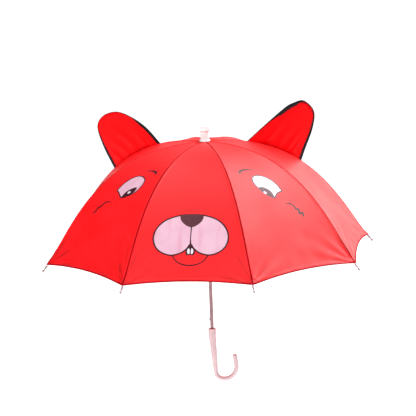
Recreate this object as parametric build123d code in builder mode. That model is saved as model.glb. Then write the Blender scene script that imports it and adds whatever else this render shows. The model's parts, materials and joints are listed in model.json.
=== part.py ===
from build123d import *
import math
import os

# A children's umbrella with eight ribs, an animal-ear canopy and a hook handle, open.
# Millimetres. +Z runs up the shaft, -Y is the front of the canopy, the hook points to +X.
# The origin is on the shaft's axis where a hand holds the grip.

# ---- canopy
rib_count = 8
gore_angle = 360 / rib_count
half_gore = math.radians(gore_angle / 2)
first_rib_angle = -90 - gore_angle / 2  # the front gore lies between ribs 1 and 2
canopy_radius = 372  # shaft axis to a canopy corner
canopy_height = 246  # plane of the corners to the crown
rim_z = 220  # plane of the corners above the grip
crown_z = rim_z + canopy_height
crown_hole_radius = 8
fabric = 0.6
seam_gap = 0.15  # half the space between neighbouring gores
hem_rise = 11  # how far the hem arches up between two corners
strap_gore = 5  # the gore at the back that carries the tie strap
clear_cut = 20  # how far a cutting outline reaches past what it cuts

# ---- ribs and stretchers
pivot_radius = 8  # shaft axis to the ribs' and stretchers' pivots
pivot_drop = 4.5  # crown to the ribs' pivots
rib_inset = 3.2  # canopy surface to a rib's centreline
rib_width = 3.0
rib_depth = 2.4
rib_wall = 0.5
joint_at = 0.415  # share of the rib's length from its pivot to the stretcher joint
eye_radius = 2.2
eye_thickness = 1.6
eye_hole = 0.75
eye_neck = 6.0  # centre of an eye to the full section
neck_overlap = 1.2  # a neck's length as a share of that distance
bridge = 3.9  # stretcher joint to the outer channel
cheek = 0.65  # thickness of a fork's cheek
layer_gap = 0.15
fork_length = 8.0
stretcher_fork_length = 13.0
stretcher_bridge = 4  # solid stretch that joins a fork's cheeks
stretcher_end_wall = 1
rivet_radius = 0.9
rivet_proud = 0.4
running_fit = 0.05

# ---- shaft, notch and runner
shaft_radius = 4.0
shaft_wall = 0.6
shaft_bottom_z = 8
shaft_top_z = crown_z + 30
notch_radius = 12.5
notch_height = 6.4
hub_radius = 5.5
slot_width = 2.0
slot_overrun = 4
wire_radius = 0.6
groove_height = 1.3
runner_bore = shaft_radius + 0.08
sleeve_radius = 7.5
sleeve_length = 30
runner_flange_radius = 10
runner_flange_height = 3
runner_taper = 2
crown_taper = 3  # height of the cone below the runner's notch
keyway_radius = 6.5
keyway_width = 2.2
keyway_floor = 3
window_width = 3.4
window_height = 10
window_z = 11  # runner's lower end to the window's middle
runner_rest_gap = 0.3  # top catch's ledge to the runner
stop_pin_gap = 1.6
pin_radius = 0.9
pin_ease = 0.02
pin_cut = 10
notch_pin_half = 6.5
stop_pin_half = 6.3
handle_pin_half = 8.3

# ---- spring catches
catch_thickness = 1.2
catch_slot = 1.8
catch_length = 20
catch_reach = 6.1  # shaft axis to the ledge the runner rests on
catch_pin_radius = 0.5
catch_pivot_reach = 0.6
catch_eye_radius = 1.6
catch_ledge_root = 1.5
catch_ledge_slope = 0.6
catch_nose = 3
catch_waist = 2.2
catch_heel = 1
catch_slot_play = 1.5
catch_slot_short = 2.5  # a slot's length less than its catch's
lower_catch_z = 56

# ---- handle and ferrule
handle_top_z = 35
handle_neck_radius = 7.8
handle_radius = 8.8
handle_pin_z = 20
shank_radius = 260
shank_run = 73
hook_bar_radius = 5.4
hook_bend_radius = 17.5  # the tighter bend below the grip
hook_bend_turn = 80  # degrees
hook_bow_radius = 28.3  # the wider bow up to the nose
hook_bow_turn = 103.5  # degrees
hook_tilt = 3.5  # degrees the grip leans towards the hook
nose_run = 21
collar_radius = 9.2
collar_grip = 8
collar_lip = 3.5
collar_step = 0.5
collar_chamfer = 1
shaft_end_gap = 0.5
ferrule_radius = 9.5
ferrule_head_radius = 12
ferrule_head_length = 12
ferrule_height = 37
ferrule_taper = 0.5
ferrule_shoulder = 3
ferrule_fillet = 2.5
ferrule_end_gap = 0.3
washer_radius = 11.8
washer_height = 3
washer_gap = 0.9
washer_fillet = 1.2

# ---- rib tips
tip_length = 18
tip_ball_radius = 2.9
tip_sleeve_radius = 2.4
tip_sleeve_length = 9
tip_neck_radius = 1.3
tip_gap = 0.05

# ---- ears
# Each ear's seam, its base's ends as shares of the rib's length, and its outline, given
# along and above that base.
ears = {
    "right": (4, 0.19, 0.485, (
        (0, 0), (20, 38), (53, 96), (69, 115), (91, 128), (122, 113), (133, 76), (134, 28), (135, 0))),
    "left": (7, 0.232, 0.537, (
        (0, 0), (16, 47), (41, 85), (70, 110), (107, 116), (133, 100), (141, 55), (140, 0))),
}
ear_panel = 1.0
ear_panel_gap = 0.3
ear_clearance = 0.5  # canopy surface to the ear's base
ear_root = 40  # how far down the leaf is drawn before the canopy trims it
binding_width = 3.5
binding_overhang = 0.6

# ---- tie strap
strap_width = 16
strap_length = 105
strap_thickness = 1.2
strap_gap = 0.4
strap_margin = 6  # hem to the strap's sewn end
snap_radius = 5.5
snap_gap = 0.3
snap_height = 2
snap_fillet = 0.8

os.makedirs("parts", exist_ok=True)


def shifted(points, distance):
    """Control points of the curve that runs at a distance outside another one."""
    moved = []
    for index, (r, z) in enumerate(points):
        before = points[max(index - 1, 0)]
        after = points[min(index + 1, len(points) - 1)]
        dr = after[0] - before[0]
        dz = after[1] - before[1]
        length = math.hypot(dr, dz)
        moved.append((r - dz / length * distance, z + dr / length * distance))
    return moved


def narrowed(points, factor):
    """The same control points with their radii scaled, as between two ribs."""
    return [(r * factor, z) for r, z in points]


def radial_plane(angle):
    """Local x runs out from the shaft at this angle, local y runs up."""
    a = math.radians(angle)
    return Plane(
        origin=(0, 0, 0),
        x_dir=(math.cos(a), math.sin(a), 0),
        z_dir=(math.sin(a), -math.cos(a), 0),
    )


def rib_plane(number):
    return radial_plane(first_rib_angle + gore_angle * (number - 1))


def gore_plane(number):
    return radial_plane(first_rib_angle + gore_angle * (number - 0.5))


def save(part, name):
    part.label = name
    export_step(part, f"parts/{name}.step")


# The canopy's top surface along a seam, from the crown to a corner.
seam_points = [
    (crown_hole_radius, crown_z),
    (252, crown_z + 4),
    (315, rim_z + 66),
    (canopy_radius, rim_z),
]
# A rib's centreline, from its pivot in the notch to its tip under the corner.
rib_points = shifted(seam_points, -rib_inset)
rib_points[0] = (pivot_radius, crown_z - pivot_drop)

rib_line = Bezier(*rib_points)
rib_end = rib_line @ 1
rib_end_direction = rib_line % 1
pivot = rib_line @ 0
joint = rib_line @ joint_at
stretcher_length = (joint - pivot).length
# An isosceles linkage: the runner's pivots mirror the notch's about the joint's height.
runner_z = 2 * joint.Y - pivot.Y
runner_pivot = Vector(pivot_radius, runner_z)
stretcher_direction = (runner_pivot - joint).normalized()


def channel(plane, start, end):
    """A stretch of the U-shaped rib, open towards the shaft."""
    with BuildPart() as stretch:
        with BuildSketch(plane):
            with BuildLine():
                add(rib_line.trim(start, end))
            trace(line_width=rib_depth)
        extrude(amount=rib_width / 2, both=True)
        with BuildSketch(plane):
            with BuildLine():
                lowered = Bezier(*shifted(rib_points, -rib_wall), mode=Mode.PRIVATE)
                add(lowered.trim(start - 0.01, min(end + 0.01, 1)))
            trace(line_width=rib_depth)
        extrude(amount=rib_width / 2 - rib_wall, both=True, mode=Mode.SUBTRACT)
    return stretch.part


def eye(plane, centre, half_thickness, hole, outer=eye_radius):
    """A flat round eye with its hole, centred on the plane."""
    with BuildPart() as ring:
        with BuildSketch(plane):
            with Locations(centre):
                Circle(outer)
                Circle(hole, mode=Mode.SUBTRACT)
        extrude(amount=half_thickness, both=True)
    return ring.part


def neck(plane, start, end, half_thickness, hole_at, hole):
    """The flattened stretch of rib between an eye and the full section."""
    with BuildPart() as flat:
        with BuildSketch(plane):
            with BuildLine():
                add(rib_line.trim(start, end))
            trace(line_width=rib_depth)
            with Locations(hole_at):
                Circle(hole, mode=Mode.SUBTRACT)
        extrude(amount=half_thickness, both=True)
    return flat.part


def make_rib(number):
    """The inner part of a rib, from the notch to the stretcher joint."""
    plane = rib_plane(number)
    joint_hole = rivet_radius + running_fit
    neck_share = eye_neck / rib_line.length
    half_eye = eye_thickness / 2
    with BuildPart() as rib:
        add(channel(plane, neck_share, joint_at - neck_share))
        add(neck(plane, 0, neck_share * neck_overlap, half_eye, (pivot.X, pivot.Y), eye_hole))
        add(eye(plane, (pivot.X, pivot.Y), half_eye, eye_hole))
        joint_neck_from = joint_at - neck_share * neck_overlap
        add(neck(plane, joint_neck_from, joint_at, half_eye, (joint.X, joint.Y), joint_hole))
        add(eye(plane, (joint.X, joint.Y), half_eye, joint_hole))
    return rib.part


def cheeks(plane, inner_face, thickness, profile):
    """Two equal plates either side of the plane, from one flat profile."""
    with BuildPart() as pair:
        for side in (1, -1):
            with BuildSketch(plane.offset(side * inner_face)):
                add(profile)
            extrude(amount=side * thickness)
    return pair.part


def make_rib_outer(number):
    """The outer part of a rib, from the stretcher joint to the tip."""
    plane = rib_plane(number)
    fork_share = fork_length / rib_line.length
    inner_face = eye_thickness / 2 + layer_gap

    with BuildSketch() as cheek_profile:
        with BuildLine():
            add(rib_line.trim(joint_at, joint_at + fork_share))
        trace(line_width=rib_depth)
        with Locations((joint.X, joint.Y)):
            Circle(eye_radius)
            Circle(rivet_radius + running_fit, mode=Mode.SUBTRACT)
    with BuildPart() as outer:
        add(cheeks(plane, inner_face, cheek, cheek_profile.sketch))
        add(channel(plane, joint_at + bridge / rib_line.length, 1))
    return outer.part


def stretcher_point(distance_from_joint, offset=0.0):
    """A point in the rib's plane on the stretcher, measured from its upper pivot."""
    side = Vector(-stretcher_direction.Y, stretcher_direction.X)
    point = joint + stretcher_direction * distance_from_joint + side * offset
    return (point.X, point.Y)


def make_stretcher(number):
    """A stretcher with a fork and rivet at the rib and an eye at the runner."""
    plane = rib_plane(number)
    inner_face = eye_thickness / 2 + layer_gap + cheek + layer_gap
    half_depth = rib_depth / 2
    body_start = stretcher_fork_length - stretcher_bridge
    body_end = stretcher_length - eye_neck
    hollow_start = stretcher_fork_length + stretcher_end_wall
    hollow_end = body_end - stretcher_end_wall

    with BuildSketch() as cheek_profile:
        with BuildLine():
            Polyline(
                stretcher_point(0, half_depth),
                stretcher_point(stretcher_fork_length, half_depth),
                stretcher_point(stretcher_fork_length, -half_depth),
                stretcher_point(0, -half_depth),
                close=True,
            )
        make_face()
        with Locations(stretcher_point(0)):
            Circle(eye_radius)
    with BuildPart() as stretcher:
        add(cheeks(plane, inner_face, cheek, cheek_profile.sketch))
        with BuildSketch(plane):
            with BuildLine():
                Polyline(
                    stretcher_point(body_start, half_depth),
                    stretcher_point(body_end, half_depth),
                    stretcher_point(body_end, -half_depth),
                    stretcher_point(body_start, -half_depth),
                    close=True,
                )
            make_face()
        extrude(amount=inner_face + cheek, both=True)
        with BuildSketch(plane):
            with BuildLine():
                Polyline(
                    stretcher_point(hollow_start, half_depth - rib_wall),
                    stretcher_point(hollow_end, half_depth - rib_wall),
                    stretcher_point(hollow_end, -half_depth - rib_wall),
                    stretcher_point(hollow_start, -half_depth - rib_wall),
                    close=True,
                )
            make_face()
        extrude(amount=inner_face + cheek - rib_wall, both=True, mode=Mode.SUBTRACT)
        with BuildSketch(plane):
            with BuildLine():
                Polyline(
                    stretcher_point(hollow_end, half_depth),
                    stretcher_point(stretcher_length, half_depth),
                    stretcher_point(stretcher_length, -half_depth),
                    stretcher_point(hollow_end, -half_depth),
                    close=True,
                )
            make_face()
            with Locations(stretcher_point(stretcher_length)):
                Circle(eye_radius)
                Circle(eye_hole, mode=Mode.SUBTRACT)
        extrude(amount=eye_thickness / 2, both=True)
        with BuildSketch(plane):
            with Locations(stretcher_point(0)):
                Circle(rivet_radius)
        extrude(amount=inner_face + cheek + rivet_proud, both=True)
    return stretcher.part


def make_tip(number):
    """The ball-ended cap on a rib's outer end, with the neck the corner is sewn to."""
    plane = rib_plane(number)
    centre = plane.from_local_coords(rib_end)
    direction = plane.from_local_coords(rib_end + rib_end_direction) - centre
    end_plane = Plane(origin=centre + direction * tip_gap, x_dir=plane.z_dir, z_dir=direction)
    with BuildPart() as tip:
        with BuildSketch(end_plane):
            Circle(tip_sleeve_radius)
        extrude(amount=tip_sleeve_length)
        with BuildSketch(end_plane):
            Circle(tip_neck_radius)
        extrude(amount=tip_length - tip_ball_radius)
        with Locations(end_plane.offset(tip_length - tip_ball_radius)):
            Sphere(tip_ball_radius)
    return tip.part


def make_gore(number):
    """One flat-cut panel of the canopy, stretched between two ribs."""
    plane = gore_plane(number)
    middle = narrowed(shifted(seam_points, -fabric / 2), math.cos(half_gore))
    reach = canopy_radius + clear_cut
    half_chord = canopy_radius * math.sin(half_gore)
    wedge_start = seam_gap / math.sin(half_gore)
    outward = Vector(plane.x_dir)
    flat_plane = Plane(origin=(0, 0, 0), x_dir=plane.x_dir, z_dir=(0, 0, 1))
    hem_plane = Plane(origin=outward * reach, x_dir=plane.z_dir, z_dir=outward * -1)
    with BuildPart() as gore:
        with BuildSketch(plane):
            with BuildLine():
                Bezier(*middle)
            trace(line_width=fabric)
        extrude(amount=half_chord + clear_cut, both=True)
        with BuildSketch(flat_plane):
            with BuildLine():
                width = (reach - wedge_start) * math.tan(half_gore)
                Polyline((wedge_start, 0), (reach, width), (reach, -width), close=True)
            make_face()
        extrude(amount=crown_z + 3 * clear_cut, mode=Mode.INTERSECT)
        with BuildSketch(hem_plane):
            with BuildLine():
                hem = ThreePointArc((-half_chord, rim_z), (0, rim_z + hem_rise), (half_chord, rim_z))
                below = rim_z - clear_cut
                Polyline(hem @ 1, (half_chord, below), (-half_chord, below), hem @ 0)
            make_face()
        extrude(amount=reach / 3, mode=Mode.SUBTRACT)
    return gore.part


def ear_profile(side_name, edge_band=0.0):
    """The leaf shape of an ear in its seam's plane, or the band around its edge."""
    number, start, end, outline = ears[side_name]
    base_in = rib_line @ start
    base = ((rib_line @ end) - base_in).normalized()
    up = Vector(-base.Y, base.X)
    points = []
    for distance, height in outline:
        point = base_in + base * distance + up * (height + rib_inset)
        points.append((point.X, point.Y))
    with BuildSketch() as leaf:
        with BuildLine():
            edge = Spline(*points)
            Polyline(edge @ 1, (edge @ 1) - up * ear_root, (edge @ 0) - up * ear_root, edge @ 0)
        make_face()
        if edge_band:
            trace(edge, line_width=2 * edge_band, mode=Mode.REPLACE)
            with BuildLine():
                add(edge)
                Polyline(edge @ 1, (edge @ 1) - up * ear_root, (edge @ 0) - up * ear_root, edge @ 0)
            make_face(mode=Mode.SUBTRACT)
        with BuildLine():
            top = Bezier(*shifted(seam_points, ear_clearance))
            Polyline(top @ 1, (canopy_radius, 0), (0, 0), (0, (top @ 0).Y), top @ 0)
        make_face(mode=Mode.SUBTRACT)
    return leaf.sketch


def make_ear_panel(side_name, side):
    """One of an ear's two cloth panels; side 1 faces the front of the canopy."""
    plane = rib_plane(ears[side_name][0])
    facing = side if plane.z_dir.Y < 0 else -side
    leaf = ear_profile(side_name)
    with BuildPart() as panel:
        with BuildSketch(plane.offset(facing * ear_panel_gap / 2)):
            add(leaf)
        extrude(amount=facing * ear_panel)
    return panel.part


def make_ear_binding(side_name):
    """The bound edge that joins an ear's two panels."""
    half_thickness = ear_panel_gap / 2 + ear_panel + binding_overhang
    band = ear_profile(side_name, binding_width)
    with BuildPart() as binding:
        with BuildSketch(rib_plane(ears[side_name][0])):
            add(band)
        extrude(amount=half_thickness, both=True)
    return binding.part


def make_strap():
    """The closing strap, folded up flat against the back gore from its hem."""
    plane = gore_plane(strap_gore)
    lie = shifted(seam_points, strap_gap + strap_thickness / 2)
    middle = Bezier(*narrowed(lie, math.cos(half_gore)))
    begin = 1 - (strap_length + strap_margin) / middle.length
    finish = 1 - strap_margin / middle.length
    with BuildPart() as strap:
        with BuildSketch(plane):
            with BuildLine():
                add(middle.trim(begin, finish))
            trace(line_width=strap_thickness)
        extrude(amount=strap_width / 2, both=True)
    return strap.part


def make_snap():
    """The press stud at the strap's free end."""
    plane = gore_plane(strap_gore)
    lie = shifted(seam_points, strap_gap + strap_thickness)
    middle = Bezier(*narrowed(lie, math.cos(half_gore)))
    share = 1 - (strap_length + strap_margin - strap_width / 2) / middle.length
    centre = plane.from_local_coords(middle @ share)
    ahead = plane.from_local_coords((middle @ share) + (middle % share)) - centre
    face = Plane(origin=centre, x_dir=ahead, z_dir=ahead.cross(plane.z_dir) * -1)
    with BuildPart() as snap:
        with BuildSketch(face.offset(snap_gap)):
            Circle(snap_radius)
        extrude(amount=snap_height)
        fillet(snap.faces().sort_by(Axis(centre, face.z_dir))[-1].edges(), snap_fillet)
    return snap.part


def slot_cutter(centre_z):
    """Eight radial slots for the ribs or stretchers, and the wire's groove."""
    reach = notch_radius + slot_overrun
    with BuildPart() as cutter:
        for number in range(1, rib_count + 1):
            with BuildSketch(rib_plane(number)):
                with Locations(((hub_radius + reach) / 2, centre_z)):
                    Rectangle(reach - hub_radius, notch_height + 2 * slot_overrun)
            extrude(amount=slot_width / 2, both=True)
        with BuildSketch(Plane.XY.offset(centre_z - groove_height / 2)):
            Circle(reach)
            Circle(pivot_radius - wire_radius - layer_gap, mode=Mode.SUBTRACT)
        extrude(amount=groove_height)
    return cutter.part


def cross_rod(z, radius, half_length, from_axis=0.0):
    """A rod across the shaft, along Y; from_axis places it towards -X."""
    with BuildPart() as rod:
        with BuildSketch(Plane.XZ):
            with Locations((-from_axis, z)):
                Circle(radius)
        extrude(amount=half_length, both=True)
    return rod.part


def catch_point(ledge_z, lower, reach, run):
    """A point of a catch: reach from the axis, run from the ledge to the pivot."""
    return (reach, ledge_z + run if lower else ledge_z - run)


def make_catch(ledge_z, lower):
    """A leaf catch that pivots inside the shaft and pokes out of its slot."""
    with BuildPart() as catch:
        with BuildSketch(radial_plane(180)):
            with BuildLine():
                Polyline(
                    catch_point(ledge_z, lower, catch_ledge_root, 0),
                    catch_point(ledge_z, lower, catch_reach, catch_ledge_slope),
                    catch_point(ledge_z, lower, catch_reach, catch_nose),
                    catch_point(ledge_z, lower, catch_waist, catch_length - catch_heel),
                    catch_point(ledge_z, lower, -catch_heel, catch_length - catch_heel),
                    close=True,
                )
            make_face()
            with Locations(catch_point(ledge_z, lower, catch_pivot_reach, catch_length - catch_heel)):
                Circle(catch_eye_radius)
                Circle(catch_pin_radius + running_fit, mode=Mode.SUBTRACT)
        extrude(amount=catch_thickness / 2, both=True)
    return catch.part


def catch_pivot_z(ledge_z, lower):
    run = catch_length - catch_heel
    return ledge_z + run if lower else ledge_z - run


runner_bottom_z = runner_z - notch_height / 2 - sleeve_length
top_catch_z = runner_bottom_z - runner_rest_gap
stop_pin_z = runner_z + notch_height / 2 + stop_pin_gap
top_pivot_z = catch_pivot_z(top_catch_z, False)
lower_pivot_z = catch_pivot_z(lower_catch_z, True)


# ---- the stick: shaft, handle, ferrule and what is pinned to them

with BuildPart() as shaft_tube:
    with BuildSketch(Plane.XY.offset(shaft_bottom_z)):
        Circle(shaft_radius)
        Circle(shaft_radius - shaft_wall, mode=Mode.SUBTRACT)
    extrude(amount=shaft_top_z - shaft_bottom_z)
    slot_length = catch_length - catch_slot_short
    for slot_end in (top_catch_z + catch_slot_play, lower_catch_z - catch_slot_play + slot_length):
        with BuildSketch(radial_plane(180)):
            with Locations((shaft_radius, slot_end - slot_length / 2)):
                Rectangle(shaft_radius, slot_length)
        extrude(amount=catch_slot / 2, both=True, mode=Mode.SUBTRACT)
    for pin_z in (pivot.Y, stop_pin_z, handle_pin_z):
        add(cross_rod(pin_z, pin_radius, pin_cut), mode=Mode.SUBTRACT)
    for pin_z in (top_pivot_z, lower_pivot_z):
        add(cross_rod(pin_z, catch_pin_radius, pin_cut, catch_pivot_reach), mode=Mode.SUBTRACT)
save(shaft_tube.part, "shaft_tube")

with BuildPart() as shaft_pins:
    pins = ((pivot.Y, notch_pin_half), (stop_pin_z, stop_pin_half), (handle_pin_z, handle_pin_half))
    for pin_z, half_length in pins:
        add(cross_rod(pin_z, pin_radius - pin_ease, half_length))
    for pin_z in (top_pivot_z, lower_pivot_z):
        add(cross_rod(pin_z, catch_pin_radius - pin_ease, shaft_radius - shaft_wall / 4, catch_pivot_reach))
save(shaft_pins.part, "shaft_pins")

save(make_catch(top_catch_z, False), "top_catch")
save(make_catch(lower_catch_z, True), "lower_catch")

with BuildPart() as handle:
    with BuildSketch(Plane.XY.offset(handle_top_z)):
        Circle(handle_neck_radius)
    extrude(amount=-collar_grip)
    with BuildLine(Plane.XZ) as hook_path:
        shank = JernArc((0, handle_top_z - collar_grip), (0, -1), shank_radius, hook_tilt)
        straight = PolarLine(shank @ 1, shank_run, direction=shank % 1)
        bend = JernArc(straight @ 1, straight % 1, hook_bend_radius, hook_bend_turn)
        bow = JernArc(bend @ 1, bend % 1, hook_bow_radius, hook_bow_turn)
        nose = PolarLine(bow @ 1, nose_run, direction=bow % 1)
    grip_path = Wire([shank, straight])
    for share, radius in ((0, handle_radius), (1, hook_bar_radius)):
        with BuildSketch(Plane(origin=grip_path @ share, z_dir=grip_path % share)):
            Circle(radius)
    sweep(path=grip_path, multisection=True)
    with BuildSketch(Plane(origin=bend @ 0, z_dir=bend % 0)):
        Circle(hook_bar_radius)
    sweep(path=Wire([bend, bow, nose]))
    with Locations(nose @ 1):
        Sphere(hook_bar_radius)
    with BuildSketch(Plane.XY.offset(handle_top_z)):
        Circle(shaft_radius + pin_ease)
    extrude(amount=shaft_bottom_z - shaft_end_gap - handle_top_z, mode=Mode.SUBTRACT)
    add(cross_rod(handle_pin_z, pin_radius, pin_cut), mode=Mode.SUBTRACT)
save(handle.part, "handle")

with BuildPart() as handle_collar:
    with BuildSketch(radial_plane(0)):
        with BuildLine():
            Polyline(
                (shaft_radius + pin_ease, handle_top_z + pin_ease),
                (handle_neck_radius + pin_ease, handle_top_z + pin_ease),
                (handle_neck_radius + pin_ease, handle_top_z - collar_grip + collar_step),
                (collar_radius, handle_top_z - collar_grip + collar_step),
                (collar_radius, handle_top_z + collar_lip - collar_chamfer),
                (collar_radius - collar_chamfer, handle_top_z + collar_lip),
                (shaft_radius + pin_ease, handle_top_z + collar_lip),
                close=True,
            )
        make_face()
    revolve(axis=Axis.Z)
save(handle_collar.part, "handle_collar")

with BuildPart() as top_notch:
    with BuildSketch(Plane.XY.offset(pivot.Y - notch_height / 2)):
        Circle(notch_radius)
        Circle(shaft_radius + pin_ease, mode=Mode.SUBTRACT)
    extrude(amount=notch_height)
    add(slot_cutter(pivot.Y), mode=Mode.SUBTRACT)
    add(cross_rod(pivot.Y, pin_radius, pin_cut), mode=Mode.SUBTRACT)
save(top_notch.part, "top_notch")

with BuildPart() as notch_wire:
    with Locations((0, 0, pivot.Y)):
        Torus(pivot_radius, wire_radius)
save(notch_wire.part, "notch_wire")

with BuildPart() as crown_washer:
    with BuildSketch(Plane.XY.offset(crown_z + washer_gap)):
        Circle(washer_radius)
        Circle(shaft_radius + pin_ease, mode=Mode.SUBTRACT)
    extrude(amount=washer_height)
    fillet(crown_washer.edges().group_by(Axis.Z)[-1].sort_by(SortBy.RADIUS)[-1], washer_fillet)
save(crown_washer.part, "crown_washer")

ferrule_bottom_z = crown_z + washer_gap + washer_height
ferrule_top_z = crown_z + ferrule_height
ferrule_neck_z = ferrule_top_z - ferrule_head_length
with BuildPart() as ferrule_cap:
    with BuildSketch(radial_plane(0)):
        with BuildLine():
            Polyline(
                (shaft_radius + pin_ease, ferrule_bottom_z),
                (ferrule_radius, ferrule_bottom_z),
                (ferrule_radius - ferrule_taper, ferrule_neck_z - ferrule_shoulder),
                (ferrule_head_radius, ferrule_neck_z),
                (ferrule_head_radius, ferrule_top_z),
                (0, ferrule_top_z),
                (0, shaft_top_z + ferrule_end_gap),
                (shaft_radius + pin_ease, shaft_top_z + ferrule_end_gap),
                close=True,
            )
        make_face()
    revolve(axis=Axis.Z)
    fillet(ferrule_cap.faces().sort_by(Axis.Z)[-1].edges(), ferrule_fillet)
save(ferrule_cap.part, "ferrule_cap")

# ---- the runner that slides on the shaft

with BuildPart() as runner:
    with BuildSketch(radial_plane(0)):
        with BuildLine():
            Polyline(
                (runner_bore, runner_bottom_z),
                (runner_flange_radius, runner_bottom_z),
                (runner_flange_radius, runner_bottom_z + runner_flange_height),
                (sleeve_radius, runner_bottom_z + runner_flange_height + runner_taper),
                (sleeve_radius, runner_z - notch_height / 2 - crown_taper),
                (notch_radius, runner_z - notch_height / 2),
                (notch_radius, runner_z + notch_height / 2),
                (runner_bore, runner_z + notch_height / 2),
                close=True,
            )
        make_face()
    revolve(axis=Axis.Z)
    add(slot_cutter(runner_z), mode=Mode.SUBTRACT)
    with BuildSketch(radial_plane(180)):
        with Locations(((keyway_radius + keyway_floor) / 2, (runner_bottom_z + runner_z) / 2)):
            Rectangle(keyway_radius - keyway_floor, runner_z - runner_bottom_z + 2 * notch_height)
    extrude(amount=keyway_width / 2, both=True, mode=Mode.SUBTRACT)
    with BuildSketch(radial_plane(180)):
        with Locations((sleeve_radius, runner_bottom_z + window_z)):
            Rectangle(sleeve_radius, window_height)
    extrude(amount=window_width / 2, both=True, mode=Mode.SUBTRACT)
save(runner.part, "runner")

with BuildPart() as runner_wire:
    with Locations((0, 0, runner_z)):
        Torus(pivot_radius, wire_radius)
save(runner_wire.part, "runner_wire")

# ---- ribs, stretchers, tips and canopy gores

for number in range(1, rib_count + 1):
    save(make_rib(number), f"rib_{number}")
    save(make_rib_outer(number), f"rib_outer_{number}")
    save(make_stretcher(number), f"stretcher_{number}")
    save(make_tip(number), f"rib_tip_{number}")
    save(make_gore(number), f"canopy_gore_{number}")

# ---- ears and the tie strap

for side_name in ears:
    save(make_ear_panel(side_name, 1), f"ear_{side_name}_front")
    save(make_ear_panel(side_name, -1), f"ear_{side_name}_back")
    save(make_ear_binding(side_name), f"ear_{side_name}_binding")

save(make_strap(), "tie_strap")
save(make_snap(), "strap_snap")
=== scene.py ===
import json
import math
import random

import bmesh
import bpy
import numpy as np
from mathutils import Matrix, Vector
from mathutils.geometry import delaunay_2d_cdt

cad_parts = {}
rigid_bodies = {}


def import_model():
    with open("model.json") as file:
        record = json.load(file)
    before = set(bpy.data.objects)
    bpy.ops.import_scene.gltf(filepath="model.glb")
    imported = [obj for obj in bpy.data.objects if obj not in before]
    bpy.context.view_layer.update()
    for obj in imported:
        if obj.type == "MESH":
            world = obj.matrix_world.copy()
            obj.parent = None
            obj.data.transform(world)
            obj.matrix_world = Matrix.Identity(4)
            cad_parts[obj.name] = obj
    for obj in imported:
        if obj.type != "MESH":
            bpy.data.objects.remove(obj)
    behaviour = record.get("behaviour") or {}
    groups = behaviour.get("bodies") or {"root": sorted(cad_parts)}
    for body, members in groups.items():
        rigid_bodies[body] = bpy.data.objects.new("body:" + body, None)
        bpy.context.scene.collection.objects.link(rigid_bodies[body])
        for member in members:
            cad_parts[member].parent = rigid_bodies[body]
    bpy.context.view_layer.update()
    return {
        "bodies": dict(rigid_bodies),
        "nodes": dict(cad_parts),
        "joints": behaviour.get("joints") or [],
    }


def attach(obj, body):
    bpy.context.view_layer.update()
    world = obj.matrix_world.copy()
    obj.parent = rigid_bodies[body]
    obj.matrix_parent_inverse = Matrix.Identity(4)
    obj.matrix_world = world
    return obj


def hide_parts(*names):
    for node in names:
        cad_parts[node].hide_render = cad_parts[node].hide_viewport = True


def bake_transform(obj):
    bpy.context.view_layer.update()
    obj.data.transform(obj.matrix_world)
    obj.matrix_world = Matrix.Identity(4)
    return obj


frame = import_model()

# A children's umbrella, open. Metres. +Z runs up the shaft, -Y is the front of the canopy.
# A point of a gore is given flat: across from the gore's middle line, positive towards the next
# rib, and along from the crown towards the hem.

MM = 0.001

# ---- canopy, as in the CAD model
rib_count = 8
gore_angle = math.radians(45)
half_gore = gore_angle / 2
first_rib_angle = math.radians(-112.5)
canopy_radius = 372 * MM
rim_z = 220 * MM
crown_z = 466 * MM
crown_hole_radius = 8 * MM
hem_rise = 11 * MM
tight_hems = {1: 7 * MM, 2: 8 * MM, 8: 8 * MM}  # how far these gores' hems rise instead
seam_edge = 1.7 * MM  # width of the darker band beside a seam, painted shade in the seam's groove
hem_edge = 3.2 * MM  # and along the hem
crown_held = 5.5 * MM  # how far out from the crown hole the washer and notch hold the cloth
corner_fold = 1.7 * MM  # height of the folds that fan out from a corner
half_chord = canopy_radius * math.sin(half_gore)
seam_points = np.array([(crown_hole_radius, crown_z), (252 * MM, crown_z + 4 * MM),
                        (315 * MM, rim_z + 66 * MM), (canopy_radius, rim_z)])
cloth = 0.45 * MM
hem_width = 8 * MM
seam_band = 3.6 * MM
bend_zone = 35 * MM  # half the length over which a rib bends at its stretcher joint

# ---- ribs
rib_inset = 3.2 * MM
rib_depth = 2.4 * MM
rib_half_width = 1.5 * MM
rib_wall = 0.5 * MM
eye_half_width = 0.8 * MM
eye_radius = 2.2 * MM
eye_hole = 0.75 * MM

joints = {joint["name"]: joint for joint in frame["joints"]}
pivot_r = math.hypot(*joints["rib_1_fold"]["pos_m"][:2])
pivot_z = joints["rib_1_fold"]["pos_m"][2]
joint_r = math.hypot(*joints["rib_1_flex"]["pos_m"][:2])
joint_z = joints["rib_1_flex"]["pos_m"][2]


# ---------------------------------------------------------------- curves

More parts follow.
